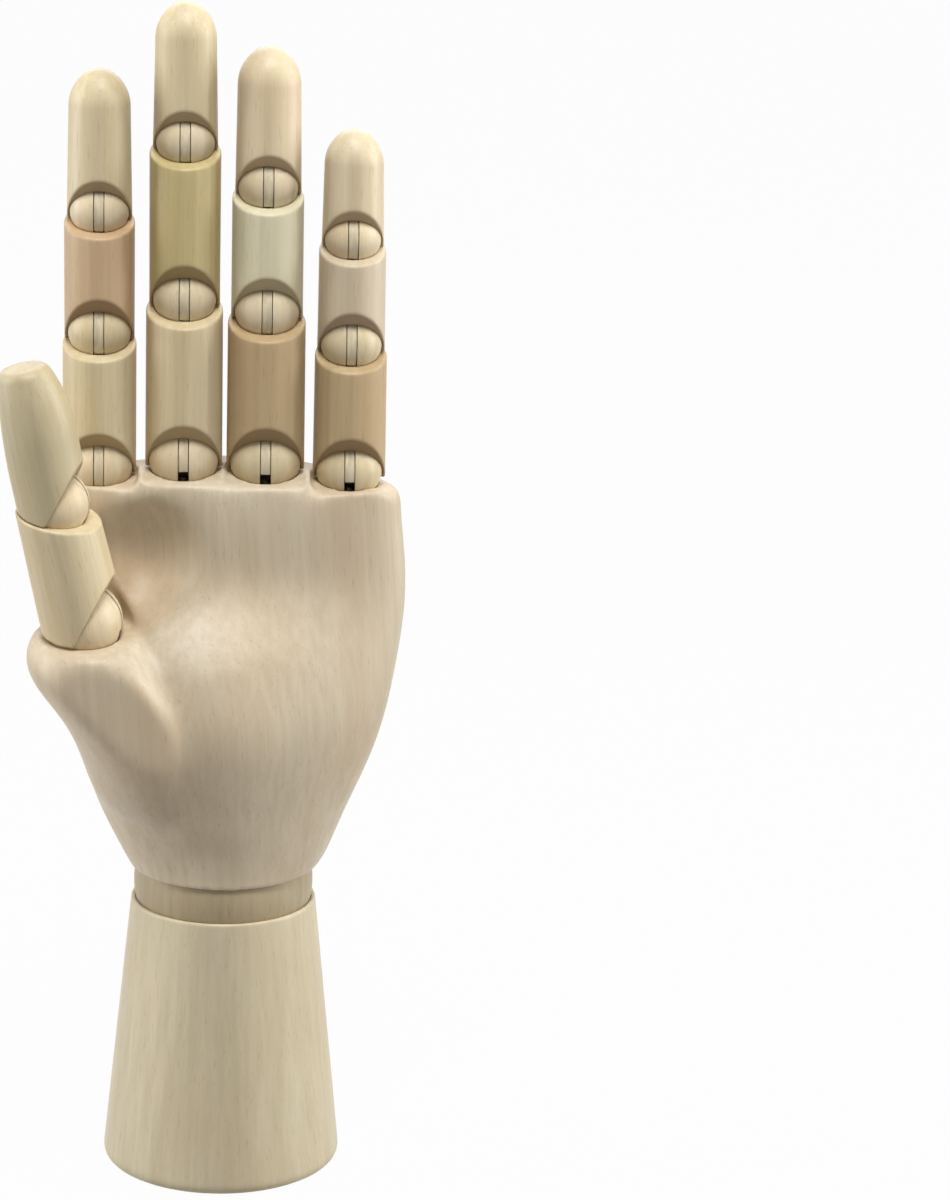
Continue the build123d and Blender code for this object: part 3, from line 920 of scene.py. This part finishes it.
@dataclass
class Finger:
    """One finger: its turned pieces and their balls, from the knuckle or the thumb's base upwards."""

    name: str
    lengths: tuple
    foot_radii: tuple
    head_radii: tuple
    tones: tuple
    ball_tones: tuple
    joint_names: tuple = ("knuckle_bend", "lower_bend", "upper_bend")
    piece_names: tuple = ("proximal", "middle", "distal")
    ball_names: tuple = ("knuckle", "lower", "upper")
    first_slant: float = 0.0
    link_thickness: float = 2.4 * MM
    slot_clearance: float = 0.2 * MM
    slot_back_share: float = 0.5
    link_head_share: float = 0.97
    link_neck_width: float = 3.6 * MM
    link_neck_reach: float = 5.0 * MM
    link_reach_down: float = radians(42.0)
    link_hub: float = 2.6 * MM
    link_hub_start: float = -2.2
    link_hub_points: int = 12
    link_step_share: float = 0.5
    link_edge: float = 0.15 * MM
    link_edge_angle: float = radians(60.0)
    link_sharp_angle: float = radians(35.0)

    def places(self) -> list:
        """The place of each ball: its centre, its pin along X and its piece along Z."""
        joints = [joint(f"{self.name}_{part}") for part in self.joint_names]
        centres = [Vector(entry["pos_m"]) for entry in joints]
        axis = (centres[1] - centres[0]).normalized()
        pin = Vector(joints[0]["axis"]) * (1 if joints[0]["range_deg"][1] > 0 else -1)
        back = axis.cross(pin)
        turn = Matrix((pin, back, axis)).transposed().to_4x4()
        return [Matrix.Translation(centre) @ turn for centre in centres]

    def piece(self, number: int) -> TurnedPiece:
        """Sizes of one of the finger's wooden pieces."""
        last = number == len(self.lengths) - 1
        rise = RISE_SHARE * self.foot_radii[number] * MM
        sizes = {
            "name": f"{self.name}_{self.piece_names[number]}_wood",
            "foot_radius": self.foot_radii[number] * MM,
            "head_radius": self.head_radii[number] * MM,
            "length": self.lengths[number] * MM - rise,
            "slant": RIM_SLANT if number else self.first_slant,
            "gap": SKIRT_GAP if number else KNUCKLE_GAP,
            "next_foot_radius": 0.0 if last else self.foot_radii[number + 1] * MM,
        }
        tip = ThumbTip if last and self.name == "thumb" else TurnedPiece
        return tip(**sizes)

    def body_of(self, node: str) -> str:
        """The body that holds a CAD node."""
        groups = frame["record"]["behaviour"]["bodies"]
        return next(body for body, members in groups.items() if node in members)

    def first_reach_down(self) -> float:
        """How far below level the first link's head may reach and still clear the stud at full bend."""
        bend = max(abs(limit) for limit in joint(f"{self.name}_{self.joint_names[0]}")["range_deg"])
        return min(self.link_reach_down, pi / 2 - STUD_ANGLE - radians(bend))

    def link(self, node: str, radius: float, place: Matrix, reach_down: float) -> bpy.types.Object:
        """Flat link: a rounded head that fills the slot in front, and a neck up into the piece.

        Args:
            node: The CAD node that it stands for.
            radius: The ball's radius.
            place: The ball's place.
            reach_down: How far below level the head reaches, in radians.

        Returns:
            The new object.
        """
        head = self.link_head_share * radius
        start, end = self.link_neck_width / 2, radius + self.link_neck_reach
        rise = atan2(sqrt(head**2 - start**2), -start)
        front = arc((0, 0), head, rise, pi + reach_down, SIDE_POINTS)
        hub = arc((0, 0), self.link_hub, self.link_hub_start, 0, self.link_hub_points)
        sides = [(start, 0.0), (start, end), (-start, end)]
        inner = self.link_step_share * radius
        step = (-inner * cos(reach_down), -inner * sin(reach_down))
        outline = [*front, step, *hub[1:-1], *sides]
        half = self.link_thickness / 2
        mesh = bmesh.new()
        flat = [mesh.verts.new((-half, y, z)) for y, z in outline]
        face = mesh.faces.new(flat)
        raised = bmesh.ops.extrude_face_region(mesh, geom=[face])
        verts = [item for item in raised["geom"] if isinstance(item, bmesh.types.BMVert)]
        bmesh.ops.translate(mesh, verts=verts, vec=(2 * half, 0, 0))
        bmesh.ops.recalc_face_normals(mesh, faces=mesh.faces)
        bmesh.ops.bevel(
            mesh,
            geom=[edge for edge in mesh.edges if edge.calc_face_angle(0) > self.link_edge_angle],
            offset=self.link_edge,
            segments=2,
            affect="EDGES",
        )
        mesh.transform(place)
        return smooth_object(f"{node}_plate", mesh, self.link_sharp_angle)

    def build(self, balls: BallTree, first_seed: int, link_material: bpy.types.Material) -> None:
        """Build and dress every piece of the finger.

        Args:
            balls: The tree that makes the balls.
            first_seed: Seed of the first piece's wood; the next ones follow it.
            link_material: Finish of the flat links.
        """
        seed = first_seed
        for number, place in enumerate(self.places()):
            grain = place.to_3x3().transposed()
            node = f"{self.name}_{self.piece_names[number]}"
            wood = self.piece(number).build(place)
            material = WoodFinish(self.tones[number], seed, grain).material(f"{node}_wood")
            finish_piece(wood, self.body_of(node), material, [node])
            ball_node = f"{self.name}_{self.ball_names[number]}_ball"
            finish = WoodFinish(self.ball_tones[number], seed + 1, grain)
            material = finish.material(f"{ball_node}_wood")
            radius = BALL_SHARE * self.foot_radii[number] * MM
            sizes = {
                "Radius": radius,
                "Slot Width": self.link_thickness + 2 * self.slot_clearance,
                "Slot Floor": CUTTER_SHARE * radius,
                "Slot Back": self.slot_back_share * radius,
                "Stud Room": 0.0 if number else 2 * (STUD_RADIUS + self.slot_clearance),
                "Stud Top": STUD_TOP_SHARE * radius - self.slot_clearance,
                "Stud Slant": self.first_slant,
                "Finish": material,
            }
            ball = balls.make(f"{ball_node}_wood", sizes, place)
            finish_piece(ball, self.body_of(ball_node), material, [ball_node])
            link_node = f"{self.name}_{self.ball_names[number]}_link"
            reach_down = self.link_reach_down if number else self.first_reach_down()
            link = self.link(link_node, radius, place, reach_down)
            finish_piece(link, self.body_of(link_node), link_material, [link_node])
            seed += 2


FINGERS = (
    Finger(
        name="index",
        lengths=(34.8, 30.8, 38.1),
        foot_radii=(9.24, 8.78, 8.22),
        head_radii=(9.28, 8.84, 7.7),
        tones=(Tone.BEIGE, Tone.PINKISH, Tone.BEIGE),
        ball_tones=(Tone.CREAM, Tone.BEIGE, Tone.CREAM),
    ),
    Finger(
        name="middle",
        lengths=(41.9, 39.8, 37.3),
        foot_radii=(9.76, 8.85, 8.18),
        head_radii=(9.65, 8.93, 7.6),
        tones=(Tone.BEIGE, Tone.OLIVE, Tone.BEIGE),
        ball_tones=(Tone.CREAM, Tone.CREAM, Tone.CREAM),
    ),
    Finger(
        name="ring",
        lengths=(39.4, 31.8, 37.5),
        foot_radii=(9.9, 9.04, 8.34),
        head_radii=(9.79, 8.96, 7.9),
        tones=(Tone.TAN, Tone.ASH, Tone.CREAM),
        ball_tones=(Tone.BEIGE, Tone.CREAM, Tone.CREAM),
    ),
    Finger(
        name="pinky",
        lengths=(33.1, 27.0, 30.2),
        foot_radii=(9.28, 8.57, 7.88),
        head_radii=(9.07, 8.39, 7.4),
        tones=(Tone.TAN, Tone.PALE, Tone.CREAM),
        ball_tones=(Tone.BEIGE, Tone.BEIGE, Tone.CREAM),
    ),
    Finger(
        name="thumb",
        lengths=(32.6, 39.6),
        foot_radii=(11.0, 9.6),
        head_radii=(10.1, 9.3),
        tones=(Tone.BEIGE, Tone.DUSKY),
        ball_tones=(Tone.CREAM, Tone.CREAM),
        joint_names=("base_bend", "upper_bend"),
        piece_names=("proximal", "distal"),
        ball_names=("base", "upper"),
        first_slant=radians(12.0),
    ),
)


@dataclass
class Palm:
    """The carved palm, from its solid: merged, remeshed, carved, and smoothed off its sockets."""

    merge_distance: float = 0.002 * MM
    voxel: float = 0.62 * MM
    smooth_rounds: int = 60
    smooth_share: float = 0.6
    settle_rounds: int = 3
    settle_share: float = 0.4
    heel_x: float = -8.0 * MM
    heel_swell: float = 8.5 * MM
    heel_top: tuple = (162.0 * MM, 139.0 * MM)
    heel_foot: tuple = (84.0 * MM, 130.0 * MM)
    heel_widths: tuple = (13.0 * MM, 30.0 * MM)
    hollow_x: float = -22.0 * MM
    hollow_z: float = 165.0 * MM
    hollow_reach: float = 12.0 * MM
    hollow_depth: float = 3.2 * MM
    # Painted shade: a darker spot over the hollow beside the thumb
    hollow_shade_centre: tuple = (-25.0 * MM, -12.0 * MM, 161.0 * MM)
    hollow_shade_reach: float = 15.0 * MM
    hollow_shade: float = 0.9
    figure: float = 0.45
    grain_tilt: float = radians(4.0)
    seed: int = 71
    front_fade: tuple = (2.0 * MM, -8.0 * MM)
    foremost: float = -33.0 * MM
    socket_margin: float = 2.6 * MM
    fade: float = 5.0 * MM
    sharp_angle: float = radians(38.0)

    def sockets(self) -> list:
        """Centre and radius of each ball that the palm holds."""
        held = []
        for finger in FINGERS:
            centre = finger.places()[0].translation
            held.append((centre, BALL_SHARE * finger.foot_radii[0] * MM + CUP_CLEARANCE))
        low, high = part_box("wrist_ball")
        wrist = Vector(joint("wrist_turn")["pos_m"])
        held.append((wrist, (high.x - low.x) / 2 + CUP_CLEARANCE))
        return held

    def merged_copy(self) -> bpy.types.Object:
        """Copy of the palm's solid with its loose triangles joined."""
        data = frame["nodes"]["palm"].data.copy()
        mesh = bmesh.new()
        mesh.from_mesh(data)
        bmesh.ops.remove_doubles(mesh, verts=mesh.verts, dist=self.merge_distance)
        mesh.to_mesh(data)
        mesh.free()
        return linked("palm_wood", data)

    def weights(self, points: np.ndarray) -> np.ndarray:
        """How far each point may be smoothed: 0 by the sockets and their rims, 1 on the open palm."""
        free = np.ones(len(points))
        for centre, radius in self.sockets():
            distance = np.linalg.norm(points - np.array(centre), axis=1) - radius
            free = np.minimum(free, np.clip((distance - self.socket_margin) / self.fade, 0, 1))
        return free

    def carve(self, points: np.ndarray, free: np.ndarray) -> np.ndarray:
        """Swell the heel of the palm and hollow it beside the thumb.

        Args:
            points: The palm's points.
            free: How far each point may move, from 0 to 1.

        Returns:
            The carved points.
        """
        x, y, z = points.T
        front = eased(y, *self.front_fade)
        top = eased(z, *self.heel_top)
        foot = eased(z, *self.heel_foot)
        low_width, high_width = self.heel_widths
        width = low_width + (high_width - low_width) * foot
        swell = self.heel_swell * top * foot * np.exp(-(((x - self.heel_x) / width) ** 2))
        away = np.hypot(x - self.hollow_x, z - self.hollow_z) / self.hollow_reach
        hollow = self.hollow_depth * np.exp(-(away**2))
        carved = points.copy()
        carved[:, 1] -= front * free[:, 0] * (swell - hollow)
        carved[:, 1] = np.maximum(carved[:, 1], np.minimum(y, self.foremost))
        return carved

    def smooth(self, piece: bpy.types.Object) -> None:
        """Blend the mound into the palm, then settle the whole surface."""
        mesh = piece.data
        count = len(mesh.vertices)
        points = np.empty(count * 3)
        mesh.vertices.foreach_get("co", points)
        points = points.reshape(-1, 3)
        edges = np.empty(len(mesh.edges) * 2, dtype=np.int64)
        mesh.edges.foreach_get("vertices", edges)
        edges = edges.reshape(-1, 2)
        degree = np.bincount(edges.ravel(), minlength=count)[:, None]
        free = self.weights(points)[:, None]
        points = self.carve(points, free)
        for number in range(self.smooth_rounds + self.settle_rounds):
            total = np.zeros_like(points)
            for axis in range(3):
                total[:, axis] += np.bincount(edges[:, 0], points[edges[:, 1], axis], count)
                total[:, axis] += np.bincount(edges[:, 1], points[edges[:, 0], axis], count)
            mean = total / degree
            settled = number >= self.smooth_rounds
            share = self.settle_share if settled else free * self.smooth_share
            points = points + (mean - points) * share
        mesh.vertices.foreach_set("co", points.ravel())
        mesh.update()

    def cut_sockets(self, piece: bpy.types.Object) -> None:
        """Cut the ball sockets clean again."""
        mesh = bmesh.new()
        for centre, radius in self.sockets():
            bmesh.ops.create_uvsphere(
                mesh,
                u_segments=BALL_SEGMENTS,
                v_segments=BALL_SEGMENTS // 2,
                radius=radius,
                matrix=Matrix.Translation(centre),
            )
        cutter = smooth_object("sockets", mesh)
        cut = piece.modifiers.new("sockets", "BOOLEAN")
        cut.operation = "DIFFERENCE"
        cut.solver = "MANIFOLD"
        cut.object = cutter
        apply_modifiers(piece)
        bpy.data.objects.remove(cutter)

    def build(self) -> None:
        """Build and dress the palm."""
        piece = self.merged_copy()
        remesh = piece.modifiers.new("even", "REMESH")
        remesh.mode = "VOXEL"
        remesh.voxel_size = self.voxel
        apply_modifiers(piece)
        self.smooth(piece)
        self.cut_sockets(piece)
        piece.data.shade_smooth()
        piece.data.set_sharp_from_angle(angle=self.sharp_angle)
        finish = WoodFinish(
            Tone.PALE,
            self.seed,
            Matrix.Rotation(self.grain_tilt, 3, "Y"),
            figure=self.figure,
            hollow_shade=self.hollow_shade,
            hollow_shade_centre=self.hollow_shade_centre,
            hollow_shade_reach=self.hollow_shade_reach,
        )
        finish_piece(piece, "palm", finish.material("palm_wood"), ["palm"])


@dataclass
class Forearm:
    """Turned forearm with a rounded foot, a soft rim and the recess underneath."""

    rim_rounding: float = 0.9 * MM
    foot_rounding: float = 3.2 * MM
    recess_radius: float = 13.0 * MM
    recess_depth: float = 34.0 * MM
    bore_radius: float = 3.3 * MM
    top_radius: float = 24.0 * MM
    mouth_rounding: float = 0.3 * MM
    recess_rounding: float = 0.5 * MM
    roof_rounding: float = 0.4 * MM
    rows: tuple = (24, 5, 60, 8, 12, 6)
    corner_count: int = 6
    columns: int = 192
    figure: float = 0.45
    seed: int = 83

    def outline(self) -> np.ndarray:
        """Closed outline of the wall in a half plane, from the bore at the cup round to the bore."""
        low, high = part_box("forearm")
        base = (high.x - low.x) / 2
        top = high.z
        ball_low, ball_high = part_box("wrist_ball")
        cup = (ball_high.x - ball_low.x) / 2 + CUP_CLEARANCE
        centre = joint("wrist_turn")["pos_m"][2]
        mouth = sqrt(cup**2 - (centre - top) ** 2)
        start = -acos(self.bore_radius / cup)
        end = atan2(top - centre, mouth)
        bowl = arc((0, centre), cup, start, end, BOWL_POINTS)
        corners = (
            (mouth, top),
            (self.top_radius, top),
            (base, 0.0),
            (self.recess_radius, 0.0),
            (self.recess_radius, self.recess_depth),
            (self.bore_radius, self.recess_depth),
        )
        sides = [np.array(pair) for pair in zip(corners, corners[1:])]
        outer_roundings = (self.mouth_rounding, self.rim_rounding, self.foot_rounding)
        roundings = (*outer_roundings, self.recess_rounding, self.roof_rounding)
        return rounded_outline([bowl, *sides], self.rows, roundings, self.corner_count)

    def build(self) -> None:
        """Build and dress the forearm."""
        outline = self.outline()
        mesh = bmesh.new()
        rings = []
        for number in range(self.columns):
            angle = 2 * pi * number / self.columns
            ring = [mesh.verts.new((reach * cos(angle), reach * sin(angle), z)) for reach, z in outline]
            rings.append(ring)
        for number, here in enumerate(rings):
            there = rings[(number + 1) % self.columns]
            for row in range(len(here)):
                after = (row + 1) % len(here)
                mesh.faces.new((here[row], there[row], there[after], here[after]))
        bmesh.ops.recalc_face_normals(mesh, faces=mesh.faces)
        piece = smooth_object("forearm_wood", mesh, SHARP_ANGLE)
        finish = WoodFinish(Tone.GREY, self.seed, figure=self.figure)
        finish_piece(piece, "forearm", finish.material("forearm_wood"), ["forearm"])


def dress_frame() -> None:
    """Give the carried-over nodes their finishes."""
    steel = SteelFinish().material()
    # The wrist ball's darker tone is painted shade between the palm and the forearm
    wrist = WoodFinish(Tone.SHADED, WRIST_SEED).material("wrist_ball_wood")
    for name, node in frame["nodes"].items():
        if node.hide_render:
            continue
        material = wrist if name == "wrist_ball" else steel
        node.data.materials.clear()
        node.data.materials.append(material)
        node.data.shade_smooth()
        LOG.info("%s keeps its solid", name)


@dataclass(frozen=True)
class Lamp:
    """A soft box: its centre, its width and height, and its power in watts."""

    name: str
    place: tuple
    size: tuple
    power: float

    def hang(self, aim: tuple) -> None:
        """Hang the lamp so that it faces a point."""
        data = bpy.data.lights.new(self.name, "AREA")
        data.shape = "RECTANGLE"
        data.size, data.size_y = self.size
        data.energy = self.power
        direction = Vector(aim) - Vector(self.place)
        turn = direction.to_track_quat("-Z", "Y").to_matrix().to_4x4()
        linked(self.name, data).matrix_world = Matrix.Translation(Vector(self.place)) @ turn


LAMPS = (
    Lamp("left_box", (-0.95, 0.02, 0.40), (0.35, 0.8), 6.5),
    Lamp("right_box", (0.95, -0.02, 0.45), (0.35, 0.8), 7.2),
    Lamp("top_box", (0.05, -0.46, 1.22), (0.5, 0.35), 11.5),
    Lamp("back_box", (0.0, 0.8, 0.9), (0.9, 0.4), 4.0),
)


@dataclass
class Studio:
    """Floor, backdrop, lamps and camera."""

    camera_place: tuple = (0.0, -1.0, 0.4348)
    camera_pitch: float = radians(15.72)
    camera_yaw: float = radians(3.665)
    camera_roll: float = radians(1.5)
    focal_pixels: float = 4041.0
    picture_height: float = 1200.0
    sensor_height: float = 24.0
    floor_reach: float = 6.0
    floor_squares: int = 8
    floor_colour: tuple = (0.34, 0.335, 0.33, 1.0)
    floor_roughness: float = 0.9
    floor_glow: float = 0.975
    fill_strength: float = 0.16
    aim: tuple = (0.0, 0.0, 0.17)

    def camera(self) -> None:
        """Set the camera at the photograph's view."""
        yaw, pitch = self.camera_yaw, self.camera_pitch
        forward = Vector((sin(yaw) * cos(pitch), cos(yaw) * cos(pitch), -sin(pitch)))
        level = Vector((cos(yaw), -sin(yaw), 0.0))
        upright = level.cross(forward)
        right = level * cos(self.camera_roll) + upright * sin(self.camera_roll)
        up = upright * cos(self.camera_roll) - level * sin(self.camera_roll)
        data = bpy.data.cameras.new("camera")
        data.sensor_fit = "VERTICAL"
        data.sensor_height = self.sensor_height
        data.lens = self.focal_pixels / self.picture_height * self.sensor_height
        made = linked("camera", data)
        turn = Matrix((right, up, -forward)).transposed().to_4x4()
        made.matrix_world = Matrix.Translation(Vector(self.camera_place)) @ turn
        bpy.context.scene.camera = made

    def backdrop(self) -> None:
        """White surroundings for what the camera and gloss see, softer ones for the light."""
        world = bpy.data.worlds.new("studio")
        bpy.context.scene.world = world
        world.use_nodes = True
        maker = NodeMaker(world.node_tree)
        seen = maker.seen_by("Is Camera Ray", "Is Transmission Ray", "Is Glossy Ray")
        sockets = {"Value": seen, "To Min": self.fill_strength, "To Max": 1.0}
        strength = maker.value("ShaderNodeMapRange", {}, sockets)
        white = (1.0, 1.0, 1.0, 1.0)
        maker.connect(maker.tree.nodes["Background"], {"Color": white, "Strength": strength})

    def floor(self) -> None:
        """Lay the pale floor, which keeps the hand's shadow."""
        mesh = bmesh.new()
        squares = self.floor_squares
        bmesh.ops.create_grid(mesh, x_segments=squares, y_segments=squares, size=self.floor_reach)
        made = smooth_object("floor", mesh)
        shader = Shader("floor_paper")
        looks = {"Base Color": self.floor_colour, "Roughness": self.floor_roughness}
        shader.connect(shader.surface, looks)
        glow = shader.node("ShaderNodeEmission", {}, {})
        share = shader.seen_by("Is Camera Ray", "Is Glossy Ray") * self.floor_glow
        sockets = {0: share, 1: shader.surface.outputs[0], 2: glow.outputs[0]}
        mixer = shader.node("ShaderNodeMixShader", {}, sockets)
        shader.connect(shader.tree.nodes["Material Output"], {"Surface": mixer.outputs[0]})
        made.data.materials.append(shader.material)

    def build(self) -> None:
        """Set up the whole studio."""
        bpy.context.scene.view_settings.view_transform = "Standard"
        self.camera()
        self.backdrop()
        self.floor()
        for lamp in LAMPS:
            lamp.hang(self.aim)


def main() -> None:
    """Build the hand's looks in order and report each piece."""
    logging.basicConfig(level=logging.INFO, format="%(message)s")
    Studio().build()
    balls = BallTree()
    links = LacquerFinish().material()
    for number, finger in enumerate(FINGERS):
        finger.build(balls, SEEDS_PER_FINGER * number + 1, links)
    Palm().build()
    Forearm().build()
    dress_frame()


if __name__ == "__main__":
    main()
